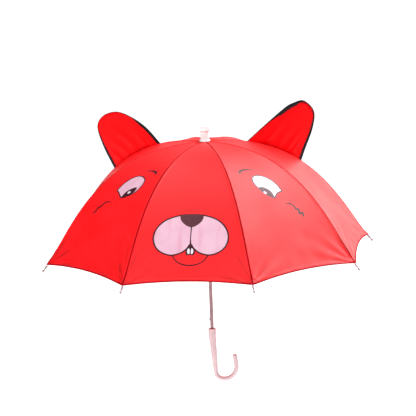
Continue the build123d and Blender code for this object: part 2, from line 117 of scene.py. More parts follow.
class Profile:
    """A Bezier curve in a radial half-plane, (r, z), read by length."""

    def __init__(self, points, steps=1200):
        t = np.linspace(0, 1, steps)[:, None]
        p = np.asarray(points, float)
        self.curve = ((1 - t) ** 3 * p[0] + 3 * (1 - t) ** 2 * t * p[1]
                      + 3 * (1 - t) * t ** 2 * p[2] + t ** 3 * p[3])
        steps_taken = np.hypot(*np.diff(self.curve, axis=0).T)
        self.distance = np.concatenate([[0], np.cumsum(steps_taken)])
        self.length = float(self.distance[-1])

    def at(self, along):
        r = np.interp(along, self.distance, self.curve[:, 0])
        z = np.interp(along, self.distance, self.curve[:, 1])
        return r, z

    def slope(self, along):
        """Unit direction (dr, dz) of the curve."""
        r1, z1 = self.at(np.asarray(along) - 1 * MM)
        r2, z2 = self.at(np.asarray(along) + 1 * MM)
        length = np.hypot(r2 - r1, z2 - z1)
        return (r2 - r1) / length, (z2 - z1) / length

    def nearest(self, r, z):
        """Distance along the curve of its point nearest to (r, z)."""
        gaps = np.hypot(self.curve[:, 0] - r, self.curve[:, 1] - z)
        return float(self.distance[gaps.argmin()])


def shifted(points, distance):
    """Control points of the curve at a distance outside another one."""
    moved = []
    for index, (r, z) in enumerate(points):
        before = points[max(index - 1, 0)]
        after = points[min(index + 1, len(points) - 1)]
        dr, dz = after[0] - before[0], after[1] - before[1]
        length = math.hypot(dr, dz)
        moved.append((r - dz / length * distance, z + dr / length * distance))
    return moved


seam = Profile(seam_points)
rib_points = shifted(seam_points, -rib_inset)
rib_points[0] = (pivot_r, pivot_z)
rib_line = Profile(rib_points)
bend_at = seam.nearest(joint_r, joint_z)


def rib_angle(number):
    return first_rib_angle + gore_angle * (number - 1)


def outward(angle):
    return np.array([math.cos(angle), math.sin(angle), 0.0])


def sideways(angle):
    return np.array([-math.sin(angle), math.cos(angle), 0.0])


def radial_point(angle, r, z):
    return outward(angle) * r + np.array([0.0, 0.0, z])


def smooth(value):
    value = np.clip(value, 0, 1)
    return value * value * (3 - 2 * value)


def spline(points, closed=False, spacing=2 * MM):
    """A Catmull-Rom curve through a few points, as evenly spaced points."""
    p = np.asarray(points, float)
    count = len(p)
    ends = range(count) if closed else range(count - 1)
    dense = []
    for i in ends:
        p0 = p[(i - 1) % count] if closed or i else 2 * p[0] - p[1]
        p1, p2 = p[i], p[(i + 1) % count]
        p3 = p[(i + 2) % count] if closed or i + 2 < count else 2 * p2 - p1
        t = np.linspace(0, 1, 24, endpoint=False)[:, None]
        dense.append(0.5 * (2 * p1 + (p2 - p0) * t + (2 * p0 - 5 * p1 + 4 * p2 - p3) * t ** 2
                            + (3 * p1 - p0 - 3 * p2 + p3) * t ** 3))
    dense = np.concatenate(dense + [p[:1] if closed else p[-1:]])
    distance = np.concatenate([[0], np.cumsum(np.linalg.norm(np.diff(dense, axis=0), axis=1))])
    steps = max(4, int(round(distance[-1] / spacing)))
    wanted = np.linspace(0, distance[-1], steps + 1)
    if closed:
        wanted = wanted[:-1]
    return np.stack([np.interp(wanted, distance, dense[:, axis]) for axis in range(p.shape[1])], 1)


def side_normals(points, closed=False):
    """Unit normals to the left of a flat path."""
    if closed:
        run = np.roll(points, -1, 0) - np.roll(points, 1, 0)
    else:
        run = np.gradient(points, axis=0)
    run = run / np.linalg.norm(run, axis=1)[:, None]
    return np.stack([-run[:, 1], run[:, 0]], 1)


def ribbon(points, widths):
    """The closed outline of a stroke along a path; widths are at its points, evenly spread."""
    path = spline(points, spacing=1.5 * MM)
    share = np.linspace(0, 1, len(path))
    half = np.interp(share, np.linspace(0, 1, len(widths)), widths) / 2
    normal = side_normals(path)
    return np.concatenate([path + normal * half[:, None], (path - normal * half[:, None])[::-1]])


def grown(outline, distance):
    """A closed outline moved outwards by a distance."""
    normal = side_normals(outline, closed=True)
    area = np.sum(outline[:, 0] * np.roll(outline[:, 1], -1) - np.roll(outline[:, 0], -1) * outline[:, 1])
    return outline - normal * distance * math.copysign(1, area)


def inside(points, outline):
    """Which points lie inside a closed outline."""
    x, y = points[:, 0][:, None], points[:, 1][:, None]
    x1, y1 = outline[:, 0][None], outline[:, 1][None]
    x2, y2 = np.roll(outline[:, 0], -1)[None], np.roll(outline[:, 1], -1)[None]
    crosses = (y1 > y) != (y2 > y)
    with np.errstate(divide="ignore", invalid="ignore"):
        at = x1 + (y - y1) / (y2 - y1) * (x2 - x1)
    return (np.sum(crosses & (x < at), axis=1) % 2) == 1


# ---------------------------------------------------------------- the gores' surface

def half_width(along):
    return seam.at(along)[0] * math.sin(half_gore)


top_at = float(seam.distance[seam.curve[:, 1].argmax()])
falling = seam.distance >= top_at


def hem_along(number, share):
    """Distance along at which a gore's hem lies, at a share from -1 to 1 of its half width."""
    z = rim_z + tight_hems.get(number, hem_rise) * (1 - np.asarray(share) ** 2)
    return np.interp(-z, -seam.curve[falling, 1], seam.distance[falling])


def gore_folds(number):
    """Long soft folds that run up from a gore's hem: (place at the hem, lean, height, reach)."""
    draw = random.Random(40 + number)
    folds = []
    for place in (-0.62, -0.2, 0.24, 0.66):
        folds.append((place + draw.uniform(-0.1, 0.1), draw.uniform(-0.12, 0.12),
                      draw.uniform(0.5, 1.1) * MM, draw.uniform(90, 190) * MM))
    return folds


def gore_relief(number, across, along):
    """Height of the cloth above the evenly stretched surface."""
    half = half_width(along)
    share = across / np.maximum(half, 1 * MM)
    to_seam = half - np.abs(across)
    to_hem = hem_along(number, share) - along
    middle = np.clip(along / seam.length, 0, 1)

    sag = -2.4 * MM * np.sin(math.pi * middle) * (1 - share ** 2)
    band = 0.35 * MM * smooth((seam_band + 0.4 * MM - to_seam) / (0.8 * MM))
    groove = -1.3 * MM * smooth(1 - to_seam / (1.5 * MM)) * smooth((along - 8 * MM) / (20 * MM))
    hem = 0.4 * MM * smooth((hem_width + 0.5 * MM - to_hem) / (0.9 * MM))
    pucker = (0.22 * MM * np.exp(-to_seam / (7 * MM)) * smooth(to_seam / (3 * MM))
              * np.sin(along / (1.9 * MM) + number + 2 * np.sin(along / (23 * MM))))
    gather = (0.5 * MM * np.exp(-along / (26 * MM)) * smooth(along / (6 * MM))
              * np.cos(share * 9 + number))

    height = sag + band + groove + hem + pucker + gather
    for side in (-1, 1):
        to_corner = np.hypot(across - side * half_chord, along - seam.length)
        turn = np.arctan2(np.abs(across - side * half_chord), seam.length - along + 1e-9)
        fan = smooth(to_corner / (28 * MM)) * np.exp(-to_corner / (62 * MM))
        height = height + corner_fold * fan * np.sin(turn * 15 + number * 1.7 + side)
    for place, lean, fold_height, reach in gore_folds(number):
        up = (seam.length - along) / reach
        line = (place + lean * up) * half_chord * (1 - 0.35 * np.clip(up, 0, 1))
        width = (9 + 8 * np.clip(up, 0, 1)) * MM
        fade = smooth(1 - up) * smooth(to_hem / (20 * MM) + 0.4)
        height = height + fold_height * fade * np.exp(-((across - line) / width) ** 2)
    return height


def gore_surface(number, across, along, lift=0.0):
    """Points in space of flat points of a gore."""
    angle = rib_angle(number + 0.5)
    r, z = seam.at(along)
    dr, dz = seam.slope(along)
    dr = dr * math.cos(half_gore)
    length = np.hypot(dr, dz)
    height = gore_relief(number, across, along) + lift
    out = r * math.cos(half_gore) - dz / length * height
    up = z + dr / length * height
    return (out[:, None] * outward(angle) + across[:, None] * sideways(angle)
            + up[:, None] * np.array([0.0, 0.0, 1.0]))


def gore_grid(number, rows=132, columns=44):
    """Flat points of a gore in rows, closer together beside the seams and the hem."""
    edge = np.array([0, 0.8, 1.7, 3.2, 4.2]) * MM
    hem_steps = np.array([12, 9.2, 8.4, 7.6, 5.4, hem_edge / MM, 1, 0]) * MM
    across, along = [], []
    for row in range(rows + len(hem_steps)):
        spread = np.linspace(-1, 1, columns)
        if row < rows:
            base = (row / rows) * (hem_along(number, spread) - hem_steps[0])
        else:
            base = hem_along(number, spread) - hem_steps[row - rows]
        half = half_width(base)
        inner = half - edge[-1] * np.minimum(1, half / (14 * MM))
        x = spread * inner
        a = base
        for step in edge[:-1][::-1]:
            scaled = step * min(1, half[0] / (14 * MM))
            x = np.concatenate([[-(half[0] - scaled)], x, [half[-1] - scaled]])
            a = np.concatenate([[base[0]], a, [base[-1]]])
        across.append(x)
        along.append(a)
    return np.array(across), np.array(along)


def grid_faces(rows, columns):
    faces = []
    for row in range(rows - 1):
        for column in range(columns - 1):
            first = row * columns + column
            faces.append((first, first + columns, first + columns + 1, first + 1))
    return faces


def clear_of_outlines(flat, outline_points, on_rim):
    """Which grid points are kept: all but those right beside a printed outline, and all of the rim."""
    clear = np.ones(len(flat), bool)
    low, high = outline_points.min(0) - 2 * MM, outline_points.max(0) + 2 * MM
    near = np.where(np.all((flat > low) & (flat < high), axis=1) & ~on_rim)[0]
    gap = np.linalg.norm(flat[near][:, None] - outline_points[None], axis=2).min(1)
    clear[near[gap < 0.9 * MM]] = False
    return clear


def printed_faces(across, along, prints):
    """Triangles through a grid's points and the outlines printed on it, each with its ink."""
    rows, columns = across.shape
    flat = np.stack([across.ravel(), along.ravel()], 1)
    index = np.arange(rows * columns).reshape(rows, columns)
    rim = np.concatenate([index[0, :-1], index[:-1, -1], index[-1, :0:-1], index[:0:-1, 0]])
    on_rim = np.zeros(len(flat), bool)
    on_rim[rim] = True
    outline_points = np.concatenate([outline for outline, ink in prints])
    kept = np.where(clear_of_outlines(flat, outline_points, on_rim))[0]
    renumber = -np.ones(len(flat), int)
    renumber[kept] = np.arange(len(kept))
    points = [Vector(p) for p in flat[kept]]
    edges = [(int(renumber[rim[i]]), int(renumber[rim[(i + 1) % len(rim)]])) for i in range(len(rim))]
    for outline, ink in prints:
        start = len(points)
        points += [Vector(p) for p in outline]
        edges += [(start + i, start + (i + 1) % len(outline)) for i in range(len(outline))]
    found, _, faces, _, _, _ = delaunay_2d_cdt(points, edges, [], 1, 1e-7)
    found = np.array([tuple(p) for p in found])
    middles = np.array([found[list(face)].mean(0) for face in faces])
    inks = np.zeros(len(faces), int)
    for outline, ink in prints:
        inks[inside(middles, outline)] = ink
    return found, [tuple(face) for face in faces], inks


# ---------------------------------------------------------------- making pieces

def make_piece(name, points, faces, materials, inks=None):
    """A mesh object with smooth faces."""
    mesh = bpy.data.meshes.new(name)
    mesh.from_pydata([tuple(p) for p in points], [], faces)
    for material in materials:
        mesh.materials.append(material)
    if inks is not None:
        mesh.polygons.foreach_set("material_index", np.asarray(inks, np.int32))
    mesh.polygons.foreach_set("use_smooth", [True] * len(mesh.polygons))
    mesh.update()
    piece = bpy.data.objects.new(name, mesh)
    bpy.context.scene.collection.objects.link(piece)
    return piece


def recalculate(piece):
    """Faces turned to point outwards on a closed mesh."""
    work = bmesh.new()
    work.from_mesh(piece.data)
    bmesh.ops.recalc_face_normals(work, faces=work.faces)
    work.to_mesh(piece.data)
    work.free()


def face_towards(piece, direction):
    """A sheet's faces turned over if they look away from a direction."""
    polygons = piece.data.polygons
    if np.array(polygons[len(polygons) // 2].normal) @ direction < 0:
        piece.data.flip_normals()


def set_attribute(piece, name, values):
    attribute = piece.data.attributes.new(name, "FLOAT", "POINT")
    attribute.data.foreach_set("value", np.asarray(values, np.float32))


def thicken(piece, thickness):
    solid = piece.modifiers.new("thickness", "SOLIDIFY")
    solid.thickness = thickness
    solid.offset = -1
    solid.use_quality_normals = True


follow_count = 5  # the inner and outer parts of two ribs, and the stick


def weighted_place(nodes, links, place, body, index):
    """Each point as one body carries it, scaled by the point's weight for that body."""
    info = nodes.new("GeometryNodeObjectInfo")
    info.transform_space = "RELATIVE"
    links.new(body, info.inputs["Object"])
    moved = nodes.new("FunctionNodeTransformPoint")
    links.new(place, moved.inputs["Vector"])
    links.new(info.outputs["Transform"], moved.inputs["Transform"])
    weight = nodes.new("GeometryNodeInputNamedAttribute")
    weight.data_type = "FLOAT"
    weight.inputs["Name"].default_value = f"follow_{index}"
    scaled = nodes.new("ShaderNodeVectorMath")
    scaled.operation = "SCALE"
    links.new(moved.outputs["Vector"], scaled.inputs[0])
    links.new(weight.outputs["Attribute"], scaled.inputs["Scale"])
    return scaled.outputs["Vector"]


def follow_group():
    """Geometry nodes that blend each point between the motions of several bodies by its weights."""
    group = bpy.data.node_groups.new("follow_ribs", "GeometryNodeTree")
    face = group.interface
    face.new_socket("Geometry", in_out="INPUT", socket_type="NodeSocketGeometry")
    for index in range(follow_count):
        face.new_socket(f"Body {index}", in_out="INPUT", socket_type="NodeSocketObject")
    face.new_socket("Geometry", in_out="OUTPUT", socket_type="NodeSocketGeometry")
    nodes, links = group.nodes, group.links
    start, end = nodes.new("NodeGroupInput"), nodes.new("NodeGroupOutput")
    place = nodes.new("GeometryNodeInputPosition")
    total = None
    for index in range(follow_count):
        part = weighted_place(nodes, links, place.outputs["Position"], start.outputs[f"Body {index}"], index)
        if total is None:
            total = part
        else:
            joined = nodes.new("ShaderNodeVectorMath")
            joined.operation = "ADD"
            links.new(total, joined.inputs[0])
            links.new(part, joined.inputs[1])
            total = joined.outputs["Vector"]
    put = nodes.new("GeometryNodeSetPosition")
    links.new(start.outputs["Geometry"], put.inputs["Geometry"])
    links.new(total, put.inputs["Position"])
    links.new(put.outputs["Geometry"], end.inputs["Geometry"])
    return group


follow = follow_group()


def bend_share(along):
    """0 on the inner part of a rib, 1 on its outer part."""
    return smooth((np.asarray(along) - bend_at + bend_zone) / (2 * bend_zone))


def follow_ribs(piece, number, across, along):
    """The cloth between two ribs moves with both, and stays under the washer at the crown."""
    side = np.clip(across / np.maximum(half_width(along), 1 * MM), -1, 1) / 2 + 0.5
    outer = bend_share(along)
    held = 1 - smooth((along - crown_held) / (4.5 * MM))
    following = number % rib_count + 1
    bodies = (f"inner_{number}", f"outer_{number}", f"inner_{following}", f"outer_{following}", "stick")
    weights = ((1 - side) * (1 - outer) * (1 - held), (1 - side) * outer * (1 - held),
               side * (1 - outer) * (1 - held), side * outer * (1 - held), held)
    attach(piece, f"outer_{number}")
    modifier = piece.modifiers.new("follow ribs", "NODES")
    modifier.node_group = follow
    for index, (body, weight) in enumerate(zip(bodies, weights)):
        set_attribute(piece, f"follow_{index}", weight)
        modifier[f"Socket_{index + 1}"] = frame["bodies"][body]


def bend_with_rib(piece):
    """A piece on one rib, with its placement baked into its mesh."""
    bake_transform(piece)


# ---------------------------------------------------------------- materials

class Shading:
    """A material's node tree, with short ways to add nodes to it."""

    def __init__(self, name, colour, roughness, **sockets):
        self.material = bpy.data.materials.new(name)
        self.material.use_nodes = True
        self.nodes = self.material.node_tree.nodes
        self.links = self.material.node_tree.links
        self.shader = self.nodes["Principled BSDF"]
        self.shader.inputs["Base Color"].default_value = (*colour, 1)
        self.shader.inputs["Roughness"].default_value = roughness
        for socket, value in sockets.items():
            self.shader.inputs[socket.replace("_", " ")].default_value = value

    def add(self, kind, **settings):
        node = self.nodes.new(kind)
        for key, value in settings.items():
            setattr(node, key, value)
        return node

    def link(self, output, target):
        self.links.new(output, target)

    def math(self, operation, first, second=None, clamp=False):
        node = self.add("ShaderNodeMath", operation=operation, use_clamp=clamp)
        for index, value in enumerate((first, second)):
            if value is None:
                continue
            if isinstance(value, (int, float)):
                node.inputs[index].default_value = value
            else:
                self.link(value, node.inputs[index])
        return node.outputs[0]

    def attribute(self, name):
        return self.add("ShaderNodeAttribute", attribute_name=name).outputs["Fac"]

    def noise(self, scale, detail=3.0, vector=None, stretch=None):
        node = self.add("ShaderNodeTexNoise")
        node.inputs["Scale"].default_value = scale
        node.inputs["Detail"].default_value = detail
        place = vector or self.add("ShaderNodeTexCoord").outputs["Object"]
        if stretch:
            mapping = self.add("ShaderNodeMapping")
            mapping.inputs["Scale"].default_value = stretch
            self.link(place, mapping.inputs["Vector"])
            place = mapping.outputs["Vector"]
        self.link(place, node.inputs["Vector"])
        return node.outputs["Fac"]

    def between(self, value, low, high, to_low, to_high):
        node = self.add("ShaderNodeMapRange", interpolation_type="SMOOTHSTEP")
        self.link(value, node.inputs["Value"])
        for name, number in (("From Min", low), ("From Max", high), ("To Min", to_low), ("To Max", to_high)):
            node.inputs[name].default_value = number
        return node.outputs["Result"]

    def mix(self, share, first, second):
        node = self.add("ShaderNodeMix", data_type="RGBA")
        self.link(share, node.inputs["Factor"])
        for socket, value in (("A", first), ("B", second)):
            target = [i for i in node.inputs if i.name == socket and i.type == "RGBA"][0]
            if isinstance(value, tuple):
                target.default_value = (*value, 1)
            else:
                self.link(value, target)
        return [o for o in node.outputs if o.type == "RGBA"][0]

    def bump(self, height, distance, strength=1.0, before=None):
        node = self.add("ShaderNodeBump")
        node.inputs["Distance"].default_value = distance
        node.inputs["Strength"].default_value = strength
        self.link(height, node.inputs["Height"])
        if before:
            self.link(before, node.inputs["Normal"])
        return node.outputs["Normal"]

    def finish(self, colour=None, roughness=None, normal=None):
        if colour:
            self.link(colour, self.shader.inputs["Base Color"])
        if roughness:
            self.link(roughness, self.shader.inputs["Roughness"])
        if normal:
            self.link(normal, self.shader.inputs["Normal"])
        return self.material


def weave_height(s, thread):
    """Plain weave: one thread up, one down, both ways."""
    warp = s.math("SINE", s.math("MULTIPLY", s.attribute("across"), 2 * math.pi / thread))
    weft = s.math("SINE", s.math("MULTIPLY", s.attribute("along"), 2 * math.pi / thread))
    return s.math("MULTIPLY", warp, weft)


def stitch_line(s, distance, offset, stitch=3.0 * MM, width=0.45 * MM):
    """1 on the stitches of a row sewn at an offset from an edge."""
    gap = s.math("ABSOLUTE", s.math("SUBTRACT", distance, offset))
    line = s.between(gap, width * 0.5, width, 1.0, 0.0)
    wave = s.math("SINE", s.math("MULTIPLY", s.math("ADD", s.attribute("along"), s.attribute("across")),
                                 2 * math.pi / stitch))
    dash = s.between(wave, -0.75, -0.35, 0.0, 1.0)
    return s.math("MULTIPLY", line, dash)


def corner_crease_shade(s):
    """Painted shade in the creases that fan out from a gore's corners."""
    distance = s.attribute("corner_distance")
    place = s.add("ShaderNodeCombineXYZ")
    s.link(s.attribute("corner_turn"), place.inputs["X"])
    s.link(s.math("MULTIPLY", distance, 1.5), place.inputs["Y"])
    lines = s.between(s.noise(9, 3, vector=place.outputs["Vector"]), 0.52, 0.62, 0.0, 0.7)
    near = s.between(distance, 45 * MM, 125 * MM, 1.0, 0.0)
    return s.math("MULTIPLY", lines, near)


def stitches_and_edge_shade(s, colour, colour_out, rough, normal):
    """Painted shade, with duller cloth, in the seam grooves; painted shade in the corners and in the creases
    that fan from them; a darker band along the hem edge; and the rows of stitches beside them.
    """
    seam_gap, hem_gap = s.attribute("to_seam"), s.attribute("to_hem")
    # painted shade in the groove along each seam
    seam_groove_shade = s.between(seam_gap, 0.5 * MM, 2.4 * MM, 1.0, 0.0)
    dark = tuple(value * 0.36 for value in colour)
    colour_out = s.mix(seam_groove_shade, colour_out, dark)
    rough = s.math("ADD", rough, s.math("MULTIPLY", seam_groove_shade, 0.4), clamp=True)
    # a darker band along the hem edge
    turned = s.between(hem_gap, 1.0 * MM, 3.6 * MM, 0.8, 0.0)
    # painted shade in the corners, where hem and seam meet
    corner_shade = s.math("MULTIPLY", s.between(hem_gap, 0.0, 26 * MM, 1.0, 0.0),
                       s.between(seam_gap, 0.0, 22 * MM, 1.0, 0.0))
    shaded = s.math("MAXIMUM", turned, s.math("MULTIPLY", corner_shade, 0.6))
    shaded = s.math("MAXIMUM", shaded, corner_crease_shade(s))
    colour_out = s.mix(shaded, colour_out, dark)
    rows = s.math("MAXIMUM", stitch_line(s, seam_gap, 2.6 * MM), stitch_line(s, hem_gap, 6.4 * MM))
    thread = tuple(value * 0.7 for value in colour)
    colour_out = s.mix(s.math("MULTIPLY", rows, 0.6), colour_out, thread)
    return colour_out, rough, s.bump(rows, 0.25 * MM, 0.9, before=normal)


def cloth_material(name, colour, shade, roughness=0.52, sheen=0.01, specular=0.5, stitches=True):
    """Satin polyester: fine weave, faint slubs and, with stitches, its sewn seams and hems, with painted
    shade in the seam grooves, corners and corner creases.
    """
    s = Shading(name, colour, roughness, Sheen_Weight=sheen, Sheen_Roughness=0.35,
                Specular_IOR_Level=specular)
    s.shader.inputs["Sheen Tint"].default_value = (1.0, 0.85, 0.85, 1)
    cloud = s.noise(14, 4)
    slub = s.noise(160, 2, stretch=(1, 1, 0.12))
    tone = s.math("ADD", s.math("MULTIPLY", cloud, 0.6), s.math("MULTIPLY", slub, 0.4))
    colour_out = s.mix(s.between(tone, 0.35, 0.65, 0.0, 1.0), shade, colour)
    rough = s.between(tone, 0.3, 0.7, roughness - 0.05, roughness + 0.06)
    height = s.math("MULTIPLY", weave_height(s, 0.55 * MM), 0.5)
    normal = s.bump(height, 0.03 * MM, 0.5)
    if stitches:
        colour_out, rough, normal = stitches_and_edge_shade(s, colour, colour_out, rough, normal)
    return s.finish(colour_out, rough, normal)


def ink_material(name, colour, shade, roughness=0.5, fold_shade=None):
    """Screen print on the cloth, a little thinner in the hollows of the weave, and, when a fold colour is
    given, with darker streaks of painted shade where the cloth folds.
    """
    s = Shading(name, colour, roughness, Specular_IOR_Level=0.45)
    grain = s.noise(900, 2)
    cloud = s.noise(30, 3)
    tone = s.math("ADD", s.math("MULTIPLY", grain, 0.5), s.math("MULTIPLY", cloud, 0.5))
    colour_out = s.mix(s.between(tone, 0.35, 0.65, 0.0, 1.0), shade, colour)
    if fold_shade:
        # painted shade: darker streaks where the cloth folds
        place = s.add("ShaderNodeCombineXYZ")
        s.link(s.attribute("across"), place.inputs["X"])
        s.link(s.math("MULTIPLY", s.attribute("along"), 0.12), place.inputs["Y"])
        folds = s.between(s.noise(55, 2, vector=place.outputs["Vector"]), 0.50, 0.72, 0.0, 0.75)
        colour_out = s.mix(folds, colour_out, fold_shade)
    normal = s.bump(weave_height(s, 0.55 * MM), 0.03 * MM, 0.4)
    return s.finish(colour_out, s.between(cloud, 0.3, 0.7, roughness - 0.06, roughness + 0.06), normal)


def moulded_plastic(name, colour, shade, roughness=0.22, parting=True):
    """Glossy moulded plastic with a parting line, faint flow marks and handling scuffs."""
    s = Shading(name, colour, roughness, Specular_IOR_Level=0.5, Coat_Weight=0.3, Coat_Roughness=0.12,
                Subsurface_Weight=0.08)
    s.shader.inputs["Subsurface Radius"].default_value = (0.004, 0.002, 0.002)
    place = s.add("ShaderNodeTexCoord").outputs["Object"]
    cloud = s.noise(35, 4)
    scuffs = s.noise(420, 5, stretch=(1, 1, 0.25))
    colour_out = s.mix(s.between(cloud, 0.35, 0.7, 0.0, 1.0), colour, shade)
    rough = s.math("ADD", s.between(scuffs, 0.45, 0.7, 0.0, 0.22), roughness)
    normal = s.bump(scuffs, 0.02 * MM, 0.3)
    if parting:
        split = s.add("ShaderNodeSeparateXYZ")
        s.link(place, split.inputs[0])
        ridge = s.between(s.math("ABSOLUTE", split.outputs["Y"]), 0.1 * MM, 0.4 * MM, 1.0, 0.0)
        normal = s.bump(ridge, 0.12 * MM, 0.8, before=normal)
    return s.finish(colour_out, rough, normal)


def drawn_metal(name, colour, shade, roughness, stretch=(40, 40, 1)):
    """Plated steel with fine drawing marks along its length and dull patches."""
    s = Shading(name, colour, roughness, Metallic=1.0)
    marks = s.noise(60, 4, stretch=stretch)
    cloud = s.noise(45, 4)
    colour_out = s.mix(s.between(cloud, 0.4, 0.7, 0.0, 1.0), colour, shade)
    rough = s.math("ADD", s.between(marks, 0.35, 0.7, -0.04, 0.12), roughness)
    return s.finish(colour_out, rough, s.bump(marks, 0.02 * MM, 0.35))


canopy_red = cloth_material("canopy_red", (0.86, 0.004, 0.008), (0.78, 0.002, 0.004))
# darker, duller red for the strips beside the seams, painted shade in their grooves, and for the band along
# the hem edge
seam_red = cloth_material("seam_red", (0.34, 0.0, 0.004), (0.26, 0.0, 0.003), roughness=0.8, sheen=0.0,
                          specular=0.08, stitches=False)
ear_red = cloth_material("ear_red_satin", (0.84, 0.001, 0.003), (0.74, 0.0, 0.002), sheen=0.0,
                         specular=0.12, stitches=False)
strap_red = cloth_material("strap_red", (0.58, 0.002, 0.005), (0.48, 0.001, 0.003))
ear_black = cloth_material("ear_black_satin", (0.004, 0.001, 0.003), (0.008, 0.003, 0.006), roughness=0.45,
                           sheen=0.02, specular=0.25, stitches=False)
# the white print, with painted shade where the cloth folds
print_white = ink_material("print_white", (0.64, 0.40, 0.49), (0.60, 0.34, 0.44),
                           fold_shade=(0.58, 0.25, 0.34))
# bright white ink of the teeth and glints; on the right eye's white it is painted light
print_bright = ink_material("print_bright_white", (0.69, 0.63, 0.69), (0.66, 0.59, 0.66))
print_line = ink_material("print_line", (0.030, 0.004, 0.008), (0.045, 0.007, 0.012))
print_nose = ink_material("print_nose", (0.075, 0.018, 0.026), (0.09, 0.025, 0.034))
white_plastic = moulded_plastic("white_plastic", (0.52, 0.40, 0.42), (0.47, 0.36, 0.38))
# the ferrule is white; its blue-green tint offsets the red light the canopy bounces onto it
ferrule_plastic = moulded_plastic("ferrule_plastic", (0.84, 0.92, 0.92), (0.80, 0.86, 0.86), 0.28)
notch_plastic = moulded_plastic("notch_plastic", (0.62, 0.50, 0.50), (0.55, 0.43, 0.43), 0.35, parting=False)
# the rib tips are white plastic; this dark pinkish grey is painted shade
tip_plastic_painted_shade = moulded_plastic("tip_plastic_painted_shade", (0.34, 0.25, 0.27), (0.26, 0.18, 0.20), 0.3, parting=False)
snap_plastic = moulded_plastic("snap_plastic", (0.78, 0.01, 0.02), (0.70, 0.008, 0.015), 0.25, parting=False)
rib_steel = drawn_metal("rib_steel", (0.70, 0.70, 0.72), (0.58, 0.58, 0.60), 0.3)
# the shaft's pink tint is a painted reflection of the red canopy above it
shaft_steel = drawn_metal("shaft_steel", (0.28, 0.165, 0.175), (0.21, 0.12, 0.13), 0.26)
spring_steel = drawn_metal("spring_steel", (0.30, 0.30, 0.33), (0.2, 0.2, 0.23), 0.35)

INKS = {"white": 1, "line": 2, "nose": 3, "bright": 4, "edge": 5}
gore_materials = [canopy_red, print_white, print_line, print_nose, print_bright, seam_red]


# ---------------------------------------------------------------- the printed face

def flat_points(points, across=0.0, mirror=False):
    """Millimetres (across, along) to metres, moved across and mirrored if asked."""
    p = np.array(points, float) * MM
    if mirror:
        p[:, 0] *= -1
    p[:, 0] += across * MM
    return p


def framed(outline, width, fill):
    """A filled shape with a line round it."""
    return [(grown(outline, width * MM / 2), INKS["line"]), (grown(outline, -width * MM / 2), INKS[fill])]


def stroke(points, widths):
    return [(ribbon(points, [width * MM for width in widths]), INKS["line"])]


def both_sides(half):
    """A closed outline from its right half, given from top to bottom."""
    return list(half) + [(-x, y) for x, y in half[::-1] if x > 0]


def muzzle_print():
    """Two round cheeks under one brow, the nose, two small teeth and the smile."""
    middle = 2.5
    cheeks = both_sides([(0, 296), (30, 299), (58, 311), (76, 331), (82, 354), (76, 375), (61, 388.5),
                         (41, 394), (21, 389), (8, 379), (0, 368.5)])
    nose = both_sides([(0, 294.6), (14, 295), (24.5, 298), (24, 309), (14.5, 321), (0, 327.5)])
    teeth = both_sides([(0, 371), (5, 377), (10, 383), (9.6, 391), (6, 394.5), (0, 393.5)])
    tooth = [(-3, 377.5), (-6.3, 381.5), (-6.6, 387), (-4, 391.3), (-1.6, 389.5), (-1.4, 383)]
    smile = [(-38.5, 395), (-30.5, 407), (-17.5, 415), (0, 418), (17.5, 415), (30.5, 407), (38.5, 395)]
    parts = stroke(flat_points(smile, middle), [3.0, 2.8, 3.2, 3.4, 3.2, 2.8, 3.0])
    parts += [(spline(flat_points(teeth, middle), closed=True), INKS["line"])]
    for mirror in (False, True):
        shape = spline(flat_points(tooth, middle, mirror), closed=True, spacing=1 * MM)
        parts.append((shape, INKS["bright"]))
    parts += framed(spline(flat_points(cheeks, middle), closed=True), 3.6, "white")
    parts.append((spline(flat_points(nose, middle), closed=True), INKS["nose"]))
    parts += stroke(flat_points([(0, 325), (-0.4, 340), (-0.6, 355), (0, 372)], middle), [3.0, 2.4, 2.4, 4.5])
    return parts


def eye_print(outline, pupil, glint, brow, cheek, weight, mirror):
    """An eye that looks down and inwards, its brow and the whiskery cheek line."""
    def placed(points):
        return flat_points(points, mirror=mirror)

    # the right eye lies on the more brightly lit side: its white takes the bright ink and its pupil the paler
    # nose ink, painted light
    parts = framed(spline(placed(outline), closed=True), 3.2, "white" if not mirror else "bright")
    parts.append((spline(placed(pupil), closed=True, spacing=1 * MM), INKS["nose" if mirror else "line"]))
    parts.append((spline(placed(glint), closed=True, spacing=1 * MM), INKS["bright"]))
    parts += stroke(placed(brow), [weight * width for width in (1.4, 2.6, 4.0, 5.0, 2.6)])
    widths = np.interp(np.linspace(0, 1, len(cheek)), (0, 0.15, 0.4, 0.9, 1), (1.4, 2.4, 3.0, 3.8, 2.0))
    parts += stroke(placed(cheek), [weight * width for width in widths])
    return parts


